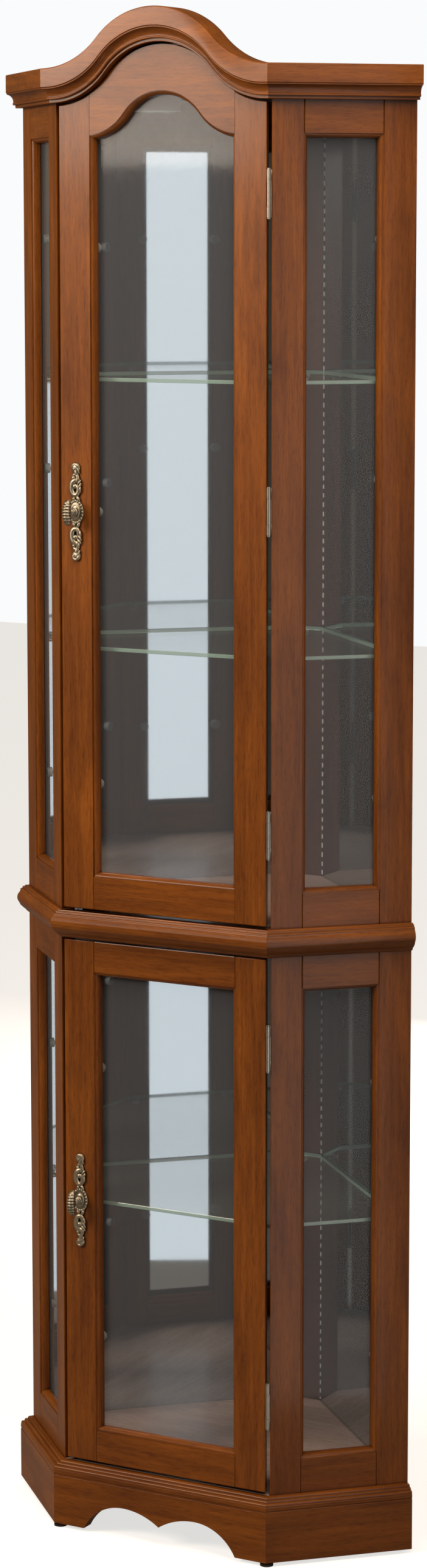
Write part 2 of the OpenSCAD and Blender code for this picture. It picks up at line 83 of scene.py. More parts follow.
# Half width and rise of the arch over the upper door, and of the one over its pane
DOOR_ARCH = (142 * MM, 67 * MM)
PANE_ARCH = (102 * MM, 50 * MM)
# How far a pane reaches past the line that its moulded edge starts from
PANE_EDGE = 0.8 * MM
# How far past a front corner each moulding is run before it is mitred there
CROWN_REACH = 21 * MM
WAIST_REACH = 16 * MM
BASE_REACH = 17 * MM
REED_REACH = 16.58 * MM
# Edges sharper than this many degrees stay crisp: on most pieces, and on mouldings
CRISP = 32.0
CRISP_MOULDING = 28.0
# Faces larger than this many square mm are boards' flat faces
BOARD_FACE = 90
# Degrees that the stage's cards are turned by, about the upright
CARD_TURN = 59.2


# ---- materials ----


def linear(hex_code):
    """An sRGB hex colour as linear RGBA."""
    out = []
    for i in (0, 2, 4):
        c = int(hex_code[i : i + 2], 16) / 255
        out.append(c / 12.92 if c <= 0.04045 else ((c + 0.055) / 1.055) ** 2.4)
    return (*out, 1.0)


def add_node(tree, kind, links=None, stops=None, **settings):
    """Adds a node, sets its settings and colour stops, and links or sets its inputs."""
    node = tree.nodes.new(kind)
    for key, value in settings.items():
        setattr(node, key, value)
    for socket, value in (links or {}).items():
        if isinstance(value, bpy.types.NodeSocket):
            tree.links.new(value, node.inputs[socket])
        else:
            node.inputs[socket].default_value = value
    if stops:
        points = node.color_ramp.elements
        while len(points) < len(stops):
            points.new(0.5)
        for point, (position, colour) in zip(points, stops):
            point.position = position
            point.color = colour
    return node


def shade(colour, factor):
    """A colour made darker or lighter."""
    return (*(c * factor for c in colour[:3]), 1.0)


def new_material(name):
    """An empty node material and its tree."""
    material = bpy.data.materials.new(name)
    material.use_nodes = True
    material.node_tree.nodes.clear()
    return material, material.node_tree


def finish_material(tree, links):
    """Adds the surface shader with its sockets, and the output."""
    shader = add_node(tree, "ShaderNodeBsdfPrincipled", links)
    add_node(tree, "ShaderNodeOutputMaterial", {"Surface": shader.outputs[0]})


# Turn that brings the grain's frame onto each direction, and which axis it runs along
GRAIN = {
    "upright": (0.0, "z"),
    "across": (0.0, "x"),
    "right": (-45.0, "x"),
    "left": (45.0, "x"),
}


def stained_hardwood(name, grain, light, dark, roughness=0.4, coat=0.26):
    """Close-grained hardwood, planed, stained red-brown and sprayed with lacquer.

    Soft streaks along the board, fine dark pores, painted shade that darkens joints, grooves and
    recesses, and a semi-gloss film that catches the light along every eased edge.
    """
    material, tree = new_material(name)
    turn, along = GRAIN[grain]
    place = add_node(tree, "ShaderNodeTexCoord")
    turned = add_node(
        tree,
        "ShaderNodeMapping",
        {"Vector": place.outputs["Object"], "Rotation": (0, 0, math.radians(turn))},
    )

    def streaks(across_mm, along_mm, **links):
        """Noise drawn out along the grain."""
        across, length = 1 / (across_mm * MM), 1 / (along_mm * MM)
        scale = (length, across, across) if along == "x" else (across, across, length)
        drawn = add_node(tree, "ShaderNodeMapping", {"Vector": turned.outputs[0], "Scale": scale})
        return add_node(
            tree, "ShaderNodeTexNoise", {"Vector": drawn.outputs[0], "Scale": 1.0, **links}
        ).outputs["Fac"]

    # Broad figure of a board, streaks of growth rings, and pores drawn about twice real width
    figure = streaks(38, 210, Detail=3.0, Distortion=0.6)
    rings = streaks(5.5, 120, Detail=5.0, Roughness=0.6, Distortion=0.35)
    pores = streaks(1.3, 15, Detail=3.0, Roughness=0.7)
    both = add_node(tree, "ShaderNodeMix", {0: 0.45, 2: figure, 3: rings}, data_type="FLOAT")
    middle = [(a + b) / 2 for a, b in zip(dark, light)]
    colour = add_node(
        tree,
        "ShaderNodeValToRGB",
        {"Fac": both.outputs[0]},
        stops=[(0.33, dark), (0.52, middle), (0.68, light)],
    ).outputs["Color"]
    flecks = add_node(
        tree,
        "ShaderNodeValToRGB",
        {"Fac": pores},
        stops=[(0.36, (0.62, 0.55, 0.5, 1)), (0.5, (1, 1, 1, 1))],
    )
    # Painted shade: ambient occlusion darkens the colour towards near black in joints, grooves and
    # recesses
    openness = add_node(tree, "ShaderNodeAmbientOcclusion", {"Distance": 5 * MM}, samples=6)
    painted_recess_shade = add_node(
        tree,
        "ShaderNodeValToRGB",
        {"Fac": openness.outputs["AO"]},
        stops=[(0.3, (0.16, 0.13, 0.12, 1)), (0.85, (1, 1, 1, 1))],
    )
    for layer, strength in ((flecks, 0.75), (painted_recess_shade, 1.0)):
        colour = add_node(
            tree,
            "ShaderNodeMix",
            {0: strength, 6: colour, 7: layer.outputs["Color"]},
            data_type="RGBA",
            blend_type="MULTIPLY",
        ).outputs[2]
    gloss = add_node(
        tree,
        "ShaderNodeMapRange",
        {"Value": rings, "To Min": roughness - 0.06, "To Max": roughness + 0.08},
    )
    bump = add_node(
        tree, "ShaderNodeBump", {"Strength": 0.22, "Distance": 0.0003, "Height": pores}
    )
    finish_material(
        tree,
        {
            "Base Color": colour,
            "Roughness": gloss.outputs[0],
            "IOR": 1.5,
            "Specular IOR Level": 0.22,
            "Coat Weight": coat,
            "Coat Roughness": 0.13,
            "Normal": bump.outputs[0],
        },
    )
    return material


def noise(tree, size_mm, detail, **links):
    """Noise in a piece's own space, its broadest lumps about size_mm across."""
    place = add_node(tree, "ShaderNodeTexCoord").outputs["Object"]
    links = {"Vector": place, "Scale": 1 / (size_mm * MM), "Detail": detail, **links}
    return add_node(tree, "ShaderNodeTexNoise", links).outputs["Fac"]


def hardboard(name, colour):
    """Pressed hardboard, unfinished: matt brown with a felted, slightly mottled face."""
    material, tree = new_material(name)
    felt = noise(tree, 4, 6.0)
    tone = add_node(
        tree,
        "ShaderNodeValToRGB",
        {"Fac": felt},
        stops=[(0.35, shade(colour, 0.75)), (0.65, shade(colour, 1.2))],
    )
    bump = add_node(tree, "ShaderNodeBump", {"Strength": 0.3, "Distance": 0.0002, "Height": felt})
    finish_material(
        tree,
        {"Base Color": tone.outputs["Color"], "Roughness": 0.82, "Normal": bump.outputs[0]},
    )
    return material


def float_glass(name, face, edge, face_alpha, edge_alpha, rim=None):
    """Drawn float glass: nearly clear face on under a faint pale veil of painted reflection, which
    grows thicker and paler at a slant, and pale green at a ground rim.
    """
    material, tree = new_material(name)
    # Painted reflection: a pale colour laid over what lies behind, faint face on and stronger at a
    # slant
    slant = add_node(tree, "ShaderNodeLayerWeight", {"Blend": 0.5}).outputs["Facing"]
    smear = noise(tree, 60, 4.0)
    tone = add_node(
        tree, "ShaderNodeValToRGB", {"Fac": slant}, stops=[(0.55, face), (0.95, edge)]
    ).outputs["Color"]
    seen = add_node(
        tree,
        "ShaderNodeMapRange",
        {
            "Value": slant,
            "From Min": 0.45,
            "From Max": 1.0,
            "To Min": face_alpha,
            "To Max": edge_alpha,
        },
    ).outputs[0]
    if rim:
        # A level sheet's ground rim is where its surface doesn't face up or down
        up = add_node(
            tree,
            "ShaderNodeSeparateXYZ",
            {"Vector": add_node(tree, "ShaderNodeNewGeometry").outputs["Normal"]},
        )
        level = add_node(tree, "ShaderNodeMath", {0: up.outputs["Z"]}, operation="ABSOLUTE")
        on_rim = add_node(
            tree,
            "ShaderNodeMapRange",
            {"Value": level.outputs[0], "From Min": 0.9, "From Max": 0.6},
        ).outputs[0]
        tone = add_node(
            tree, "ShaderNodeMix", {0: on_rim, 6: tone, 7: rim}, data_type="RGBA"
        ).outputs[2]
        seen = add_node(
            tree, "ShaderNodeMix", {0: on_rim, 2: seen, 3: 0.8}, data_type="FLOAT"
        ).outputs[0]
    polish = add_node(
        tree,
        "ShaderNodeMapRange",
        {"Value": smear, "To Min": 0.02, "To Max": 0.07},
    )
    finish_material(
        tree,
        {
            "Base Color": tone,
            "Roughness": polish.outputs[0],
            "IOR": 1.52,
            "Alpha": seen,
            "Specular IOR Level": 1.0,
        },
    )
    return material


def silvered_glass(name, colour):
    """Mirror glass, silvered on its back: a cool, slightly grey reflection with faint haze."""
    material, tree = new_material(name)
    haze = noise(tree, 90, 5.0)
    rough = add_node(
        tree, "ShaderNodeMapRange", {"Value": haze, "To Min": 0.015, "To Max": 0.05}
    )
    finish_material(
        tree, {"Base Color": colour, "Metallic": 1.0, "Roughness": rough.outputs[0]}
    )
    return material


def painted_glint_edge(name, colour, between_glints):
    """Ground and silvered edge of a mirror, drawn with painted glints: bright dashes of painted
    highlight in wavy bands, dim grey between.
    """
    material, tree = new_material(name)
    # Painted highlight: near-white dashes stand for glints of light along the silvered edge
    glint_bands = add_node(
        tree,
        "ShaderNodeTexWave",
        {
            "Vector": add_node(tree, "ShaderNodeTexCoord").outputs["Object"],
            "Scale": 1 / (36 * MM),
            "Distortion": 1.5,
            "Detail": 2.0,
        },
        wave_type="BANDS",
        bands_direction="Z",
    ).outputs["Fac"]
    tone = add_node(
        tree, "ShaderNodeValToRGB", {"Fac": glint_bands}, stops=[(0.35, between_glints), (0.7, colour)]
    )
    rough = add_node(tree, "ShaderNodeMapRange", {"Value": glint_bands, "To Min": 0.5, "To Max": 0.25})
    finish_material(
        tree, {"Base Color": tone.outputs["Color"], "Roughness": rough.outputs[0], "IOR": 1.52}
    )
    return material


def antique_brass(name, bright, dark):
    """Cast brass, darkened and rubbed back: near-black hollows and pale worn high spots."""
    material, tree = new_material(name)
    patina = noise(tree, 2.6, 4.0, Roughness=0.65)
    high = add_node(
        tree,
        "ShaderNodeMapRange",
        {
            "Value": add_node(tree, "ShaderNodeNewGeometry").outputs["Pointiness"],
            "From Min": 0.46,
            "From Max": 0.56,
        },
    )
    mixed = add_node(
        tree, "ShaderNodeMix", {0: 0.35, 2: high.outputs[0], 3: patina}, data_type="FLOAT"
    )
    openness = add_node(tree, "ShaderNodeAmbientOcclusion", {"Distance": 2.5 * MM}, samples=6)
    rubbed = add_node(
        tree,
        "ShaderNodeMath",
        {0: mixed.outputs[0], 1: openness.outputs["AO"]},
        operation="MULTIPLY",
    )
    tone = add_node(
        tree,
        "ShaderNodeValToRGB",
        {"Fac": rubbed.outputs[0]},
        stops=[(0.2, dark), (0.62, bright)],
    )
    rough = add_node(tree, "ShaderNodeMapRange", {"Value": patina, "To Min": 0.26, "To Max": 0.5})
    bump = add_node(
        tree, "ShaderNodeBump", {"Strength": 0.25, "Distance": 0.0002, "Height": patina}
    )
    finish_material(
        tree,
        {
            "Base Color": tone.outputs["Color"],
            "Metallic": 1.0,
            "Roughness": rough.outputs[0],
            "Normal": bump.outputs[0],
        },
    )
    return material


def nickel_plate(name, colour, roughness):
    """Rolled steel, nickel plated and tumbled: pale, with a fine brushed drag along it."""
    material, tree = new_material(name)
    drag = add_node(
        tree,
        "ShaderNodeMapping",
        {
            "Vector": add_node(tree, "ShaderNodeTexCoord").outputs["Object"],
            "Scale": (1 / (0.6 * MM), 1 / (0.6 * MM), 1 / (9 * MM)),
        },
    )
    lines = add_node(
        tree, "ShaderNodeTexNoise", {"Vector": drag.outputs[0], "Scale": 1.0, "Detail": 3.0}
    ).outputs["Fac"]
    rough = add_node(
        tree,
        "ShaderNodeMapRange",
        {"Value": lines, "To Min": roughness - 0.08, "To Max": roughness + 0.1},
    )
    tone = add_node(
        tree,
        "ShaderNodeValToRGB",
        {"Fac": lines},
        stops=[(0.3, shade(colour, 0.82)), (0.7, colour)],
    )
    finish_material(
        tree,
        {"Base Color": tone.outputs["Color"], "Metallic": 1.0, "Roughness": rough.outputs[0]},
    )
    return material


def moulded_plastic(name, colour, roughness, alpha=1.0, glow=0.0):
    """Injection-moulded plastic with a fine spark-eroded texture."""
    material, tree = new_material(name)
    grit = noise(tree, 0.8, 2.0)
    tone = add_node(
        tree,
        "ShaderNodeValToRGB",
        {"Fac": grit},
        stops=[(0.3, shade(colour, 0.9)), (0.7, colour)],
    )
    bump = add_node(tree, "ShaderNodeBump", {"Strength": 0.15, "Distance": 0.0001, "Height": grit})
    links = {
        "Base Color": tone.outputs["Color"],
        "Roughness": roughness,
        "IOR": 1.49,
        "Alpha": alpha,
        "Normal": bump.outputs[0],
    }
    if glow:
        links["Emission Color"] = colour
        links["Emission Strength"] = glow
    finish_material(tree, links)
    return material


MATERIALS = {}


def make_materials(look):
    """Makes every material from the colours in the settings."""
    for grain in GRAIN:
        MATERIALS["hardwood_" + grain] = stained_hardwood(
            "lacquered_hardwood_" + grain,
            grain,
            tuple(look.stain_light),
            tuple(look.stain_dark),
            look.sheen_roughness,
        )
    MATERIALS["inside_upright"] = stained_hardwood(
        "inside_hardwood_upright", "upright", linear("6A3B26"), linear("3C1F14"), 0.45, 0.1
    )
    # Pale mauve-grey on the decks and roof: painted reflection and light on the inside boards
    MATERIALS["inside_across_painted_light"] = stained_hardwood(
        "inside_hardwood_across_painted_light", "across", linear("CBB5AC"), linear("A48C82"), 0.4, 0.1
    )
    MATERIALS["hardboard"] = hardboard("pressed_hardboard", linear("7A5A3E"))
    MATERIALS["pane"] = float_glass(
        "clear_float_glass", linear("B4C0CE"), linear("A3B0B2"), look.pane_reflection_veil, 0.18
    )
    MATERIALS["shelf"] = float_glass(
        "shelf_float_glass", linear("8E9A96"), linear("6F7C78"), 0.06, 0.24, rim=linear("A9CFC0")
    )
    MATERIALS["mirror"] = silvered_glass("silvered_glass", tuple(look.mirror_tint))
    MATERIALS["mirror_edge"] = painted_glint_edge(
        "mirror_edge_painted_glints", linear("F4F6F4"), linear("3A3A38")
    )
    MATERIALS["brass"] = antique_brass("antique_cast_brass", linear("BDB29C"), linear("120E0B"))
    MATERIALS["nickel"] = nickel_plate("nickel_plated_steel", linear("C9C2B6"), 0.34)
    for key, name, colour, roughness, alpha, glow in (
        ("clip", "clear_moulded_polycarbonate", "C4CCCC", 0.3, 0.75, 0.0),
        ("lamp", "white_moulded_abs", "DADAD4", 0.35, 1.0, 0.0),
        ("lens", "frosted_acrylic", "F4F0E2", 0.5, 1.0, look.lamp_glow),
        ("catch", "dark_moulded_nylon", "3A322C", 0.5, 1.0, 0.0),
        ("glide", "glide_nylon", "2A2320", 0.55, 1.0, 0.0),
    ):
        MATERIALS[key] = moulded_plastic(name, linear(colour), roughness, alpha, glow)


# ---- making pieces ----


def keep(name, bm, material, body, nodes=(), smooth=CRISP, flat_mm2=None):
    """Turns a bmesh in metres into a finished piece that rides on a body.

    Edges sharper than smooth degrees stay crisp, and faces over flat_mm2 are shaded flat.
    """
    mesh = bpy.data.meshes.new(name)
    bm.to_mesh(mesh)
    bm.free()
    mesh.set_sharp_from_angle(angle=math.radians(smooth))
    for face in mesh.polygons:
        face.use_smooth = flat_mm2 is None or face.area < flat_mm2 * MM * MM
    piece = bpy.data.objects.new(name, mesh)
    bpy.context.scene.collection.objects.link(piece)
    mesh.materials.append(MATERIALS[material])
    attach(piece, body)
    if nodes:
        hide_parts(*nodes)
    return piece


def keep_moulding(name, bm, grain, nodes=()):
    """Keeps a moulding of the carcass, with its fine members' edges left crisp."""
    return keep(
        name, bm, "hardwood_" + grain, "carcass", nodes, CRISP_MOULDING
    )


def body_of_node(node):
    """The body that a node rides on."""
    for name, members in frame["record"]["behaviour"]["bodies"].items():
        if node in members:
            return name
    raise ValueError("no body holds " + node)


def eased_copy(node, material, ease, angle=40.0, segments=2, broad=False):
    """A node's shape with its sharp edges rounded over, standing for the node.

    Edges under four times the rounding stay sharp. With broad, so do those beside faces too
    narrow to hold it, and the rest get it in full.
    """
    bm = bmesh.new()
    bm.from_mesh(NODES[node].data)
    bmesh.ops.remove_doubles(bm, verts=bm.verts, dist=0.00001)
    bmesh.ops.dissolve_limit(
        bm, angle_limit=math.radians(0.5), verts=bm.verts, edges=bm.edges, delimit={"NORMAL"}
    )
    sharp = [
        e
        for e in bm.edges
        if len(e.link_faces) == 2
        and e.calc_length() > 4 * ease
        and abs(e.calc_face_angle(0.0)) > math.radians(angle)
    ]
    if broad:
        least = 2.6 * ease
        sharp = [
            e for e in sharp if min(f.calc_area() for f in e.link_faces) > least * e.calc_length()
        ]
    bmesh.ops.bevel(
        bm,
        geom=sharp,
        offset=ease,
        offset_type="OFFSET",
        affect="EDGES",
        segments=segments,
        profile=0.5,
        clamp_overlap=not broad,
        material=-1,
    )
    return keep(
        "eased_" + node,
        bm,
        material,
        body_of_node(node),
        [node],
        flat_mm2=BOARD_FACE,
    )


def dress(node, material):
    """Gives a node that keeps its own shape its finish."""
    mesh = NODES[node].data
    mesh.materials.clear()
    mesh.materials.append(MATERIALS[material])


def arc(centre, radius, start, end, steps=6):
    """Points on an arc of a moulding's outline, in mm, angles in degrees."""
    out = []
    for i in range(steps + 1):
        a = math.radians(start + (end - start) * i / steps)
        out.append((centre[0] + radius * math.cos(a), centre[1] + radius * math.sin(a)))
    return out


def arch_height(x, half, rise):
    """Height of the double-curved arch above its foot at x: a round crest and two hollows."""
    radius = (half * half + rise * rise) / (4 * rise)
    x = abs(x)
    if x >= half:
        return 0.0
    if x <= half / 2:
        return rise - radius + math.sqrt(radius * radius - x * x)
    return radius - math.sqrt(radius * radius - (half - x) ** 2)


def moulding_run(outline, start, end, step=None):
    """Extrudes a moulding's outline, given in mm as overhang and height, along x."""
    bm = bmesh.new()
    ring = [bm.verts.new((start, -e * MM, z * MM)) for e, z in outline]
    edges = [bm.edges.new((a, b)) for a, b in zip(ring, ring[1:] + ring[:1])]
    first = list(edges)
    count = 1 if step is None else max(1, round((end - start) / step))
    for _ in range(count):
        made = bmesh.ops.extrude_edge_only(bm, edges=edges)["geom"]
        verts = [g for g in made if isinstance(g, bmesh.types.BMVert)]
        edges = [g for g in made if isinstance(g, bmesh.types.BMEdge)]
        edges = [e for e in edges if all(v in verts for v in e.verts)]
        bmesh.ops.translate(bm, verts=verts, vec=((end - start) / count, 0, 0))
    bmesh.ops.edgeloop_fill(bm, edges=first)
    bmesh.ops.edgeloop_fill(bm, edges=edges)
    bmesh.ops.recalc_face_normals(bm, faces=bm.faces)
    return bm


def cut(bm, point, normal):
    """Saws off what lies beyond a plane and closes the cut."""
    geom = bm.verts[:] + bm.edges[:] + bm.faces[:]
    made = bmesh.ops.bisect_plane(
        bm, geom=geom, dist=0.000001, plane_co=point, plane_no=normal, clear_outer=True
    )["geom_cut"]
    edges = [g for g in made if isinstance(g, bmesh.types.BMEdge)]
    bmesh.ops.edgeloop_fill(bm, edges=[e for e in edges if len(e.link_faces) < 2])


MITRE_NORMAL = Vector((math.cos(math.radians(22.5)), math.sin(math.radians(22.5)), 0))


def front_run(outline, overhang):
    """A front moulding, mitred at both front corners."""
    reach = HALF + overhang
    bm = moulding_run(outline, -reach, reach)
    bmesh.ops.translate(bm, verts=bm.verts, vec=(0, FRONT_Y, 0))
    mitre_front(bm)
    return bm


def mitre_front(bm):
    """Cuts a front moulding on the lines that halve the corners."""
    cut(bm, Vector((HALF, FRONT_Y, 0)), MITRE_NORMAL)
    cut(bm, Vector((-HALF, FRONT_Y, 0)), Vector((-MITRE_NORMAL.x, MITRE_NORMAL.y, 0)))


def side_run(outline, overhang, side):
    """A side moulding, mitred at the front corner and square at the wall."""
    bm = moulding_run(outline, -overhang, SIDE_W)
    bmesh.ops.rotate(bm, verts=bm.verts, matrix=Matrix.Rotation(math.radians(45), 3, "Z"))
    bmesh.ops.translate(bm, verts=bm.verts, vec=(HALF, FRONT_Y, 0))
    cut(bm, Vector((HALF, FRONT_Y, 0)), -MITRE_NORMAL)
    if side < 0:
        bmesh.ops.scale(bm, verts=bm.verts, vec=(-1, 1, 1))
        bmesh.ops.recalc_face_normals(bm, faces=bm.faces)
    return bm


# ---- outlines of the mouldings, overhang and height in mm ----


def crown_outline():
    """Fillet, small bead, cove and a flat fascia with an eased top edge."""
    top = (CASE_TOP - CROWN_LOW) / MM
    return (
        [(0, 0), (8.6, 0), (9.2, 0.6), (9.2, 3.4)]
        + arc((11.0, 5.0), 1.6, -95, 60, 6)
        + arc((20.4, 7.4), 8.6, 178, 95, 7)
        + [(19.7, 17.0), (20.2, 17.6), (20.9, 18.2), (20.9, top - 1.4)]
        + arc((19.5, top - 1.4), 1.4, 20, 90, 3)
        + [(0, top)]
    )


def waist_outline():
    """Cove, broad rounded nose and two fine beads that step back to the deck."""
    return (
        [(0, 0), (1.5, 0), (2.9, 1.0), (4.1, 2.4), (4.8, 4.2), (6.2, 4.4)]
        + [(7.6, 5.5), (9.4, 7.2), (11.3, 9.0)]
        + arc((6.3, 18.6), 9.0, -40, 50, 9)
        + [(11.5, 26.7), (11.2, 27.5)]
        + arc((9.7, 28.3), 1.6, -10, 100, 4)
        + [(8.6, 30.2)]
        + arc((7.0, 30.8), 1.6, 0, 100, 4)
        + [(5.6, 32.4), (5.2, 33.2), (4.6, 33.7), (0, 33.7)]
    )


def base_outline(low):
    """Flat board, a fine groove, a bright nose and three reeds that slope back to the case."""
    reeds = []
    for centre in ((13.6, 75.2), (9.2, 77.9), (4.8, 80.4)):
        reeds += arc(centre, 2.5, -5, 118, 6)
    return (
        [(0, low), (16.0, low), (16.5, low + 0.5), (16.5, 67.3), (15.8, 68.0), (15.8, 68.8)]
        + [(16.5, 69.5), (16.5, 73.4), (16.0, 74.0)]
        + reeds
        + [(2.2, 83.0), (0, 83.0)]
    )


# ---- woodwork ----

SIDES = ((1, "right"), (-1, "left"))
UPRIGHT = [
    "left_front_stile",
    "left_rear_stile",
    "right_front_stile",
    "right_rear_stile",
    "upper_door_hinge_stile",
    "upper_door_handle_stile",
    "lower_door_hinge_stile",
    "lower_door_handle_stile",
]
ACROSS = ["upper_door_bottom_rail", "lower_door_top_rail", "lower_door_bottom_rail"]
RIGHT_RAILS = ["right_top_rail", "right_mid_rail", "right_bottom_rail"]
LEFT_RAILS = ["left_top_rail", "left_mid_rail", "left_bottom_rail"]


def build_frames(look):
    """Stiles and straight rails with eased edges, grain along each board."""
    for nodes, grain in (
        (UPRIGHT, "upright"),
        (ACROSS, "across"),
        (RIGHT_RAILS, "right"),
        (LEFT_RAILS, "left"),
    ):
        for node in nodes:
            eased_copy(node, "hardwood_" + grain, look.ease, broad=True)


def build_arched_rail():
    """The upper door's top rail: arched above, with the moulded edge swept round the pane."""
    foot = box("upper_door_arched_rail")[1].z - DOOR_ARCH[1]
    pane_top = box("upper_door_glass")[1].z - PANE_EDGE - PANE_ARCH[1]
    # Depth behind the face and height above that line, in mm: fillet, quarter-round, rebate
    edge = [(0.0, 0.0), (1.0, 0.0), (1.0, -0.8)]
    for k in range(7):
        a = math.radians(k * 15)
        edge.append((9 - 7.4 * math.cos(a), -0.8 - 4.2 * math.sin(a)))
    edge += [(9.0, -5.2), (12.0, -5.2), (12.0, 1.8), (19.0, 1.8)]
    top = 60.0
    outline = [(0.0, top), *edge, (19.0, top)]
    # A hair short of the stiles, for the joint line
    end = DOOR_IN - 0.4 * MM
    bm = moulding_run([(-y, z) for y, z in outline], -end, end, 2.5 * MM)
    step = 0.2 * MM
    for v in bm.verts:
        x, w = v.co.x, v.co.z
        if w > top * MM / 2:
            v.co.z = foot + arch_height(x, *DOOR_ARCH)
            continue
        # The moulded edge stays square to the arch
        height = arch_height(x, *PANE_ARCH)
        slope = (arch_height(x + step, *PANE_ARCH) - height) / step
        lean = math.sqrt(1 + slope * slope)
        v.co.x = max(-end, min(end, x - w * slope / lean))
        v.co.z = pane_top + height + w / lean
    bmesh.ops.translate(bm, verts=bm.verts, vec=(0, FRONT_Y, 0))
    keep(
        "arched_door_rail",
        bm,
        "hardwood_across",
        "upper_door",
        ["upper_door_arched_rail"],
    )


def build_crown(look):
    """Crown moulding swept along the arch in front and run straight along the sides."""
    outline = crown_outline()
    top = outline[-1][1] * MM
    reach = HALF + CROWN_REACH
    bm = moulding_run(outline, -reach, reach, 3 * MM)
    for v in bm.verts:
        # The arch is a little wider at the top of the moulding than at its foot
        half = DOOR_ARCH[0] + 8 * MM * v.co.z / top
        v.co.z += arch_height(v.co.x, half, ARCH_RISE)
    bmesh.ops.translate(bm, verts=bm.verts, vec=(0, FRONT_Y, CROWN_LOW))
    mitre_front(bm)
    keep_moulding("arched_crown_moulding", bm, "across", ["crown_front"])
    for side, name in SIDES:
        bm = side_run(outline, CROWN_REACH, side)
        bmesh.ops.translate(bm, verts=bm.verts, vec=(0, 0, CROWN_LOW))
        keep_moulding("crown_moulding_" + name, bm, name, ["crown_" + name])
    eased_copy("crown_backer", "hardwood_across", look.ease, 50.0)


def build_waist():
    """Waist moulding along the front and both sides, with the rail behind it."""
    outline = waist_outline()
    bm = front_run([(e if e > 0 else -1.0, z) for e, z in outline], WAIST_REACH)
    bmesh.ops.translate(bm, verts=bm.verts, vec=(0, 0, WAIST_LOW))
    keep_moulding("waist_moulding_front", bm, "across")
    eased_copy("waist_rail_front", "hardwood_across", 0.3 * MM, 60.0, 1)
    for side, name in SIDES:
        bm = side_run(outline, WAIST_REACH, side)
        bmesh.ops.translate(bm, verts=bm.verts, vec=(0, 0, WAIST_LOW))
        keep_moulding("waist_moulding_" + name + "_run", bm, name, ["waist_moulding_" + name])


def build_base():
    """Reeded base boards on three sides; the front one is cut in two shallow arches."""
    outline = base_outline(GLIDE_H / MM)
    for side, name in SIDES:
        bm = side_run(outline, BASE_REACH, side)
        keep_moulding("base_moulding_" + name, bm, name, ["base_board_" + name])
    eased_copy("base_apron_front", "hardwood_across", 0.5 * MM, 50.0)
    # Fine reeds laid a hair over the apron's own
    reeds = [(e + 0.08, z) for e, z in outline if e > 2 and z > 67.5]
    bm = front_run([(-1.0, reeds[0][1]), *reeds, (-1.0, reeds[-1][1])], REED_REACH)
    keep_moulding("base_reeds_front", bm, "across")
    eased_copy("floor_glides", "glide", 0.6 * MM, 50.0)


def build_boards(look):
    """Roof, decks, corner post and the back boards."""
    # Roof and decks take the pale inside finish, with painted reflection and light
    for node in ("roof_board", "waist_deck", "bottom_deck"):
        eased_copy(node, "inside_across_painted_light", look.ease, 50.0)
    eased_copy("corner_post", "inside_upright", look.ease, 30.0)
    dress("back_boards", "hardboard")


def build_glazing():
    """Panes, mirrors and the round clips behind the stiles."""
    for node in ("upper_side_glass", "lower_side_glass", "upper_door_glass", "lower_door_glass"):
        dress(node, "pane")
    for node in ("upper_mirrors", "lower_mirrors"):
        dress(node, "mirror")
    for node in ("side_glass_clips", "upper_door_clips", "lower_door_clips"):
        eased_copy(node, "clip", 0.5 * MM, 50.0)
    build_mirror_edges()


def build_mirror_edges():
    """The ground edges of the right mirrors, seen as dashed lines beside the corner post."""
    post = box("corner_post")
    radius = 0.9 * MM
    for node, level in (("upper_mirrors", "upper"), ("lower_mirrors", "lower")):
        low, high = box(node)
        place = (24.6 * MM, post[0].y - 0.6 * MM, (low.z + high.z) / 2)
        bm = bmesh.new()
        bmesh.ops.create_cone(
            bm,
            cap_ends=True,
            segments=10,
            radius1=radius,
            radius2=radius,
            depth=high.z - low.z - 4 * MM,
            matrix=Matrix.Translation(place),
        )
        keep(level + "_mirror_edge", bm, "mirror_edge", "carcass")


def build_shelves():
    """Glass shelves with ground edges, on plated pegs."""
    for node in ("top_shelf", "middle_shelf", "lower_shelf"):
        eased_copy(node, "shelf", 0.8 * MM, 50.0)
    eased_copy("shelf_pegs", "nickel", 0.3 * MM, 50.0)


def build_fittings():
    """Lamp, hinges, catches and strike plates."""
    eased_copy("lamp_housing", "lamp", 1.2 * MM, 50.0)
    dress("lamp_lens", "lens")
    for node in ("hinge_frame_leaves", "upper_door_leaves", "lower_door_leaves", "hinge_pins"):
        eased_copy(node, "nickel", 0.2 * MM, 50.0, 1)
    eased_copy("magnetic_catches", "catch", 0.5 * MM, 50.0)
    for node in ("upper_door_strike", "lower_door_strike"):
        eased_copy(node, "nickel", 0.2 * MM, 50.0, 1)


# ---- handles ----


def add_round(bm, centre, radius, stretch, tilt=0.0, segments=16):
    """Adds a rounded lump: a sphere stretched along x, y and z and tilted about y."""
    matrix = (
        Matrix.Translation(centre)
        @ Matrix.Rotation(tilt, 4, "Y")
        @ Matrix.Diagonal((*stretch, 1))
    )
    bmesh.ops.create_uvsphere(
        bm, u_segments=segments, v_segments=segments // 2 + 2, radius=radius, matrix=matrix
    )


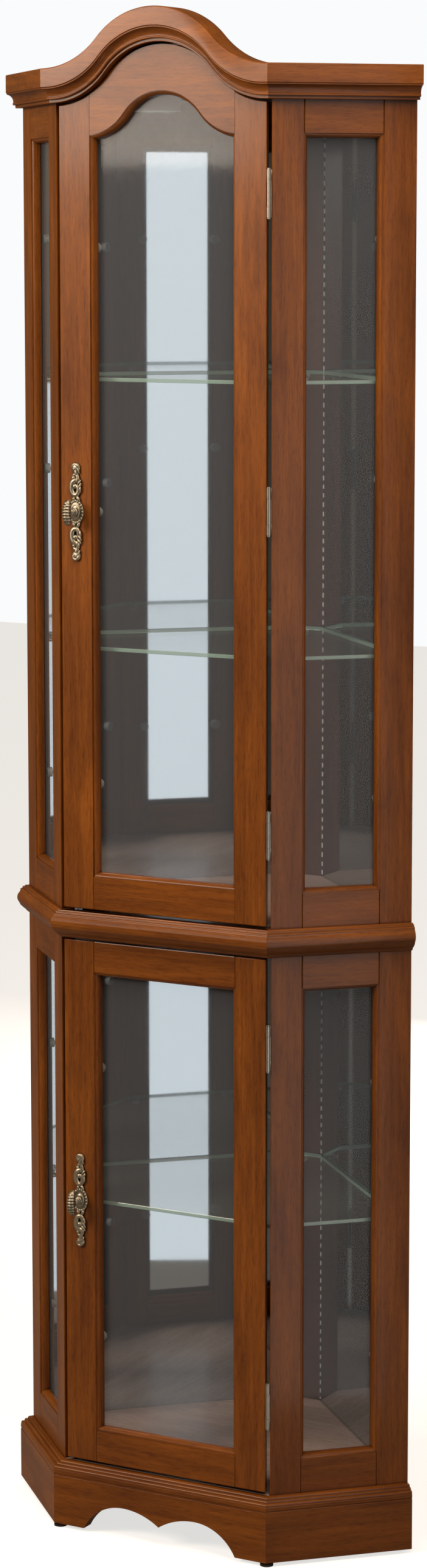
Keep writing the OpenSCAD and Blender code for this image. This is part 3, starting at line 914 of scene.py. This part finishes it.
def add_scroll(bm, centre, radii, tall, angles, thick, way):
    """Adds a scroll that winds in from the wide to the tight radius and ends in a bead.

    Radii and thicknesses are in mm, each as start and end; angles in degrees.
    """
    ring = bmesh.ops.create_circle(bm, cap_ends=False, segments=10, radius=1.0)["verts"]
    shape = [v.co.copy() for v in ring]
    start = last = list(ring)
    edges = list({e for v in last for e in v.link_edges})
    steps = 30

    def place(t):
        a = math.radians(angles[0] + (angles[1] - angles[0]) * t)
        r = (radii[0] + (radii[1] - radii[0]) * t) * MM
        return centre + Vector((r * math.cos(a), 0, way * tall * r * math.sin(a)))

    for i in range(steps + 1):
        t = i / steps
        ahead = (place(t + 0.01) - place(t - 0.01)).normalized()
        out = ahead.cross(Vector((0, 1, 0)))
        fat = (thick[0] + (thick[1] - thick[0]) * t) * MM * min(1.0, 0.45 + 4 * t)
        if i:
            made = bmesh.ops.extrude_edge_only(bm, edges=edges)["geom"]
            verts = {g for g in made if isinstance(g, bmesh.types.BMVert)}
            # Each new vertex continues the one it was drawn from
            last = [
                next(e.other_vert(o) for e in o.link_edges if e.other_vert(o) in verts)
                for o in last
            ]
            edges = [g for g in made if isinstance(g, bmesh.types.BMEdge)]
            edges = [e for e in edges if all(v in verts for v in e.verts)]
        for v, flat in zip(last, shape):
            v.co = place(t) + out * flat.x * fat + Vector((0, 0.8, 0)) * flat.y * fat
    bmesh.ops.contextual_create(bm, geom=start)
    bmesh.ops.contextual_create(bm, geom=last)
    add_round(bm, place(1.0), thick[1] * 1.5 * MM, (1, 0.9, 1))


def plate_place(level):
    """Gives the point x, y and z mm right of, in front of and above a backplate's centre."""
    low, high = box(level + "_backplate")
    middle = (low + high) / 2
    return lambda x, y, z: Vector((middle.x + x * MM, high.y - y * MM, middle.z + z * MM))


def build_backplate(level):
    """A pierced scroll backplate with leaf ends."""
    node = level + "_backplate"
    low, high = box(node)
    at = plate_place(level)
    bm = bmesh.new()

    # Oval rosette: a rim set with beads, and a raised boss behind the stem
    add_round(bm, at(0, 0.4, 0), 10.8 * MM, (0.95, 0.2, 1.34), 0, 28)
    for turn in range(0, 360, 18):
        a = math.radians(turn)
        add_round(bm, at(9.2 * math.cos(a), 1.6, 12.9 * math.sin(a)), 1.9 * MM, (1, 0.8, 1), 0, 10)
    add_round(bm, at(0, 1.6, 0), 6.6 * MM, (0.9, 0.36, 1.3), 0, 20)
    for way in (1, -1):
        # Main scroll: over the left, round under and curled in, with leaf cuts down its outside
        add_scroll(bm, at(0.4, 1.7, way * 27), (7.3, 2.2), 1.5, (62, 470), (3.9, 2.2), way)
        for side, height, lean in ((5.2, 34.5, 0.7), (6.3, 30.5, 0.45), (6.6, 26.0, 0.1)):
            add_round(bm, at(side, 2.4, way * height), 2.1 * MM, (0.75, 0.8, 2.0), lean * way, 12)
        add_scroll(bm, at(-0.8, 1.5, way * 40.4), (4.6, 1.8), 1.25, (-80, 190), (2.9, 1.7), way)
        add_round(bm, at(3.6, 1.6, way * 15.6), 2.6 * MM, (0.8, 0.8, 1.5), -0.5 * way, 12)
        add_round(bm, at(-2.4, 1.6, way * 15.2), 2.4 * MM, (0.9, 0.8, 1.2), 0.4 * way, 12)
        add_round(bm, at(3.6, 1.8, way * 40.2), 2.0 * MM, (0.8, 0.8, 2.4), -0.5 * way, 12)
        # Leaf: a full curled end that narrows to the stalk, with two folds
        add_round(bm, at(0.4, 1.4, way * 52.0), 5.9 * MM, (1.0, 0.42, 1.02), 0, 20)
        add_round(bm, at(1.0, 1.5, way * 46.6), 3.9 * MM, (0.8, 0.55, 1.7), -0.2 * way, 16)
        add_scroll(bm, at(-0.6, 2.6, way * 52.2), (5.0, 1.5), 1.05, (-20, 260), (2.1, 1.2), way)
        add_round(bm, at(4.2, 2.4, way * 49.6), 1.9 * MM, (0.7, 0.8, 2.6), -0.35 * way, 12)
    for v in bm.verts:
        v.co.y = min(high.y, v.co.y)
        v.co.z = min(max(v.co.z, low.z), high.z)
    bmesh.ops.recalc_face_normals(bm, faces=bm.faces)
    keep(
        level + "_scroll_backplate", bm, "brass", body_of_node(node), [node], 50.0
    )


def build_knob(level):
    """An upright knob: a ribbed bar, bent back at its ends, on a stem of beads."""
    node = level + "_knob"
    low, high = box(node)
    at = plate_place(level)
    face = at(0, 0, 0).y
    half = (high.z - low.z) / 2
    radius = (high.x - low.x) / 2
    middle = Vector((at(0, 0, 0).x, low.y + radius, (low.z + high.z) / 2))
    bm = bmesh.new()
    rows = 72
    previous = None
    for i in range(rows + 1):
        t = -1 + 2 * i / rows
        swell = math.sqrt(max(0.0, 1 - abs(t) ** 3.2))
        groove = 0.13 * (0.5 + 0.5 * math.cos(t * math.pi * 9)) if abs(t) < 0.86 else 0.0
        r = radius * swell * (1 - groove)
        v = bm.verts.new((max(r, 0.00001), 0, t * half))
        if previous:
            bm.edges.new((previous, v))
        previous = v
    bmesh.ops.spin(
        bm,
        geom=bm.verts[:] + bm.edges[:],
        cent=(0, 0, 0),
        axis=(0, 0, 1),
        angle=math.tau,
        steps=28,
        use_merge=True,
    )
    bmesh.ops.remove_doubles(bm, verts=bm.verts, dist=0.00002)
    for v in bm.verts:
        # Upright flutes across the ribs
        turn = math.atan2(v.co.y, v.co.x)
        flute = 1 - 0.07 * (0.5 + 0.5 * math.cos(7 * turn)) ** 2
        v.co.x, v.co.y = v.co.x * flute, v.co.y * flute
        t = v.co.z / half
        v.co += middle + Vector((0, 4.5 * MM * t * t, 0))
    # The stem ends inside its first bead
    root = face - 4.2 * MM
    length = root - middle.y
    stem = bmesh.ops.create_cone(
        bm, cap_ends=True, segments=24, radius1=3.2 * MM, radius2=2.6 * MM, depth=length
    )["verts"]
    place = Matrix.Translation((middle.x, root - length / 2, middle.z))
    bmesh.ops.transform(
        bm, matrix=place @ Matrix.Rotation(math.radians(90), 4, "X"), verts=stem
    )
    for out, size in ((5.4, 5.0), (8.6, 4.1), (11.6, 3.6), (15.0, 4.3)):
        add_round(bm, at(0, out, 0), size * MM, (1, 0.42, 1), 0, 20)
    bmesh.ops.recalc_face_normals(bm, faces=bm.faces)
    keep(level + "_ribbed_knob", bm, "brass", body_of_node(node), [node], 60.0)


# ---- stage ----


def add_flat(name, width, height, material):
    """A flat rectangle, lying at the origin, that belongs to the stage."""
    bm = bmesh.new()
    bmesh.ops.create_grid(bm, x_segments=1, y_segments=1, size=0.5)
    bmesh.ops.scale(bm, verts=bm.verts, vec=(width, height, 1))
    mesh = bpy.data.meshes.new(name)
    bm.to_mesh(mesh)
    bm.free()
    mesh.materials.append(material)
    flat = bpy.data.objects.new(name, mesh)
    bpy.context.scene.collection.objects.link(flat)
    return flat


def build_floor(colour):
    """The floor, pale to the eye and duller to the woodwork, so that its colours stay deep."""
    material, tree = new_material("pale_matt_floor")
    eye = add_node(tree, "ShaderNodeLightPath").outputs["Is Camera Ray"]
    tone = add_node(
        tree, "ShaderNodeMix", {0: eye, 6: linear("85827C"), 7: colour}, data_type="RGBA"
    )
    shine = add_node(tree, "ShaderNodeMapRange", {"Value": eye, "To Min": 0.05, "To Max": 0.86})
    finish_material(
        tree,
        {
            "Base Color": tone.outputs[2],
            "Roughness": 0.9,
            "Emission Color": colour,
            "Emission Strength": shine.outputs[0],
        },
    )
    add_flat("floor", 18.0, 18.0, material)


def add_card(name, place, width, height):
    """A lit pale card that stands on the floor, seen only in mirrors and gloss."""
    material, tree = new_material("lit_" + name)
    finish_material(
        tree,
        {
            "Base Color": linear("C8D0D4"),
            "Emission Color": linear("DDE3E6"),
            "Emission Strength": 1.65,
        },
    )
    card = add_flat(name, width, height, material)
    upright = Matrix.Rotation(math.radians(90), 4, "X")
    facing = Matrix.Rotation(math.radians(CARD_TURN), 4, "Z")
    card.data.transform(Matrix.Translation((*place, height / 2)) @ facing @ upright)
    card.visible_camera = False
    card.visible_diffuse = False
    card.visible_shadow = False
    card.visible_transmission = False


def build_room(strength):
    """Even surroundings: white to the eye, dim and warm to the woodwork."""
    world = bpy.data.worlds.new("soft_room")
    bpy.context.scene.world = world
    world.use_nodes = True
    tree = world.node_tree
    eye = add_node(tree, "ShaderNodeLightPath").outputs["Is Camera Ray"]
    level = add_node(
        tree, "ShaderNodeMapRange", {"Value": eye, "To Min": strength, "To Max": 1.0}
    )
    colour = add_node(
        tree,
        "ShaderNodeMix",
        {0: eye, 6: linear("FFDDB8"), 7: linear("FAFBFC")},
        data_type="RGBA",
    )
    room = tree.nodes["Background"]
    tree.links.new(level.outputs[0], room.inputs["Strength"])
    tree.links.new(colour.outputs[2], room.inputs["Color"])


def add_light(name, place, aim, size, power, colour):
    """A soft rectangular light, aimed at a point."""
    data = bpy.data.lights.new(name, "AREA")
    data.shape = "RECTANGLE"
    data.size, data.size_y = size
    data.energy = power
    data.color = linear(colour)[:3]
    lamp = bpy.data.objects.new(name, data)
    lamp.location = place
    lamp.rotation_euler = (Vector(aim) - Vector(place)).to_track_quat("-Z", "Y").to_euler()
    bpy.context.scene.collection.objects.link(lamp)


def build_stage(look):
    """Pale floor, even pale surroundings, soft lights and the camera."""
    scene = bpy.context.scene
    build_floor(tuple(look.floor_colour))
    build_room(look.room_light)
    scene.view_settings.view_transform = "Standard"
    # In line with the right side's and the door's openings, as the left mirror shows them
    add_card("mirror_card", (0.720, FRONT_Y - 0.235), 0.17, 1.90)
    add_card("mirror_card_low", (0.497, FRONT_Y - 0.285), 0.070, 1.36)
    add_light("key_softbox", (-1.75, -2.45, 2.28), (0, 0, 1.3), (1.2, 1.2), look.key_power, "FFEEDD")
    add_light("fill_softbox", (1.35, -1.25, 2.6), (0.2, 0, 1.75), (0.8, 0.8), look.fill_power, "FFE6CC")
    add_light("top_softbox", (0.35, -1.0, 3.0), (0, 0, 0.9), (1.5, 1.0), look.top_power, "FFEEDC")
    add_light("back_softbox", (-0.6, 2.8, 1.0), (0, 0.1, 0.9), (1.4, 1.4), look.back_power, "FFF1E0")

    camera = bpy.data.objects.new("camera", bpy.data.cameras.new("camera"))
    camera.data.sensor_fit = "VERTICAL"
    camera.data.sensor_height = 36.0
    camera.data.lens = 85.30
    camera.data.shift_x = -0.00464
    camera.data.shift_y = 0.00228
    camera.data.clip_end = 100.0
    camera.location = (2.17324, -3.74527 + FRONT_Y, 1.56539)
    # Tipped down from level, a hair of roll, and turned to face the left
    camera.rotation_euler = [math.radians(angle) for angle in (90 - 8.39, 0.03, 29.22)]
    scene.collection.objects.link(camera)
    scene.camera = camera


# ---- add-on ----


class CabinetLook(bpy.types.PropertyGroup):
    """Sizes, colours and light that a user would change."""

    stain_light: bpy.props.FloatVectorProperty(
        name="Stain, light grain",
        description="Colour of the paler streaks",
        subtype="COLOR",
        size=4,
        min=0.0,
        max=1.0,
        default=linear("A45E19"),
    )
    stain_dark: bpy.props.FloatVectorProperty(
        name="Stain, dark grain",
        description="Colour of the darker streaks",
        subtype="COLOR",
        size=4,
        min=0.0,
        max=1.0,
        default=linear("6C380B"),
    )
    mirror_tint: bpy.props.FloatVectorProperty(
        name="Mirror tint",
        description="Colour of the silvering",
        subtype="COLOR",
        size=4,
        min=0.0,
        max=1.0,
        default=linear("BCC4CA"),
    )
    floor_colour: bpy.props.FloatVectorProperty(
        name="Floor",
        description="Colour of the floor",
        subtype="COLOR",
        size=4,
        min=0.0,
        max=1.0,
        default=linear("E9E9E7"),
    )
    sheen_roughness: bpy.props.FloatProperty(
        name="Lacquer roughness",
        description="Lower is glossier",
        default=0.40,
        min=0.1,
        max=0.9,
        subtype="FACTOR",
    )
    # Strength of the pale veil of painted reflection on the panes
    pane_reflection_veil: bpy.props.FloatProperty(
        name="Pane haze",
        description="How much a pane hides what is behind it",
        default=0.088,
        min=0.0,
        max=1.0,
        subtype="FACTOR",
    )
    lamp_glow: bpy.props.FloatProperty(
        name="Lamp glow",
        description="Light given off by the lamp's lens",
        default=0.3,
        min=0.0,
    )
    ease: bpy.props.FloatProperty(
        name="Eased edge",
        description="Radius of the woodwork's eased edges",
        default=1.0 * MM,
        min=0.1 * MM,
        max=2.0 * MM,
        precision=4,
        unit="LENGTH",
    )
    room_light: bpy.props.FloatProperty(
        name="Room light",
        description="Strength of the even surroundings",
        default=0.13,
        min=0.0,
    )
    key_power: bpy.props.FloatProperty(
        name="Key light",
        description="Power of the key softbox",
        default=58.0,
        min=0.0,
        unit="POWER",
    )
    fill_power: bpy.props.FloatProperty(
        name="Fill light",
        description="Power of the fill softbox",
        default=11.0,
        min=0.0,
        unit="POWER",
    )
    top_power: bpy.props.FloatProperty(
        name="Top light",
        description="Power of the softbox above",
        default=20.0,
        min=0.0,
        unit="POWER",
    )
    back_power: bpy.props.FloatProperty(
        name="Back light",
        description="Power of the softbox behind",
        default=30.0,
        min=0.0,
        unit="POWER",
    )


class CABINET_OT_materials(bpy.types.Operator):
    """Make the finishes"""

    bl_idname = "cabinet.materials"
    bl_label = "Finishes"

    def execute(self, context):
        make_materials(context.scene.cabinet_look)
        return {"FINISHED"}


class CABINET_OT_frames(bpy.types.Operator):
    """Ease the stiles and rails of the doors and sides"""

    bl_idname = "cabinet.frames"
    bl_label = "Stiles and rails"

    def execute(self, context):
        build_frames(context.scene.cabinet_look)
        return {"FINISHED"}


class CABINET_OT_arched_rail(bpy.types.Operator):
    """Sweep the upper door's arched rail"""

    bl_idname = "cabinet.arched_rail"
    bl_label = "Arched door rail"

    def execute(self, context):
        build_arched_rail()
        return {"FINISHED"}


class CABINET_OT_crown(bpy.types.Operator):
    """Run the crown moulding"""

    bl_idname = "cabinet.crown"
    bl_label = "Crown"

    def execute(self, context):
        build_crown(context.scene.cabinet_look)
        return {"FINISHED"}


class CABINET_OT_waist(bpy.types.Operator):
    """Run the waist moulding"""

    bl_idname = "cabinet.waist"
    bl_label = "Waist"

    def execute(self, context):
        build_waist()
        return {"FINISHED"}


class CABINET_OT_base(bpy.types.Operator):
    """Run the base moulding and ease the apron"""

    bl_idname = "cabinet.base"
    bl_label = "Base"

    def execute(self, context):
        build_base()
        return {"FINISHED"}


class CABINET_OT_boards(bpy.types.Operator):
    """Finish the roof, decks, post and backs"""

    bl_idname = "cabinet.boards"
    bl_label = "Boards"

    def execute(self, context):
        build_boards(context.scene.cabinet_look)
        return {"FINISHED"}


class CABINET_OT_glazing(bpy.types.Operator):
    """Finish the panes, mirrors and clips"""

    bl_idname = "cabinet.glazing"
    bl_label = "Glazing"

    def execute(self, context):
        build_glazing()
        return {"FINISHED"}


class CABINET_OT_shelves(bpy.types.Operator):
    """Finish the shelves and pegs"""

    bl_idname = "cabinet.shelves"
    bl_label = "Shelves"

    def execute(self, context):
        build_shelves()
        return {"FINISHED"}


class CABINET_OT_fittings(bpy.types.Operator):
    """Finish the lamp, hinges and catches"""

    bl_idname = "cabinet.fittings"
    bl_label = "Lamp, hinges and catches"

    def execute(self, context):
        build_fittings()
        return {"FINISHED"}


class CABINET_OT_handles(bpy.types.Operator):
    """Model the scroll backplates and ribbed knobs"""

    bl_idname = "cabinet.handles"
    bl_label = "Handles"

    def execute(self, context):
        for level in ("upper", "lower"):
            build_backplate(level)
            build_knob(level)
        return {"FINISHED"}


class CABINET_OT_stage(bpy.types.Operator):
    """Set the floor, lights and camera"""

    bl_idname = "cabinet.stage"
    bl_label = "Stage"

    def execute(self, context):
        build_stage(context.scene.cabinet_look)
        return {"FINISHED"}


OPERATORS = (
    CABINET_OT_materials,
    CABINET_OT_frames,
    CABINET_OT_arched_rail,
    CABINET_OT_crown,
    CABINET_OT_waist,
    CABINET_OT_base,
    CABINET_OT_boards,
    CABINET_OT_glazing,
    CABINET_OT_shelves,
    CABINET_OT_fittings,
    CABINET_OT_handles,
    CABINET_OT_stage,
)


class CABINET_PT_panel(bpy.types.Panel):
    """Sidebar panel with the settings and the building steps"""

    bl_label = "Corner Curio Cabinet"
    bl_idname = "CABINET_PT_panel"
    bl_space_type = "VIEW_3D"
    bl_region_type = "UI"
    bl_category = "Cabinet"

    def draw(self, context):
        look = context.scene.cabinet_look
        for name in CabinetLook.__annotations__:
            self.layout.prop(look, name)
        for operator in OPERATORS:
            self.layout.operator(operator.bl_idname)


def register():
    bpy.utils.register_class(CabinetLook)
    bpy.types.Scene.cabinet_look = bpy.props.PointerProperty(type=CabinetLook)
    for operator in OPERATORS:
        bpy.utils.register_class(operator)
    bpy.utils.register_class(CABINET_PT_panel)


def unregister():
    bpy.utils.unregister_class(CABINET_PT_panel)
    for operator in reversed(OPERATORS):
        bpy.utils.unregister_class(operator)
    del bpy.types.Scene.cabinet_look
    bpy.utils.unregister_class(CabinetLook)


def main():
    """Registers the add-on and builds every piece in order."""
    register()
    for operator in OPERATORS:
        group, name = operator.bl_idname.split(".")
        result = getattr(getattr(bpy.ops, group), name)()
        if result != {"FINISHED"}:
            raise RuntimeError(operator.bl_idname + " did not finish")


if __name__ == "__main__":
    main()
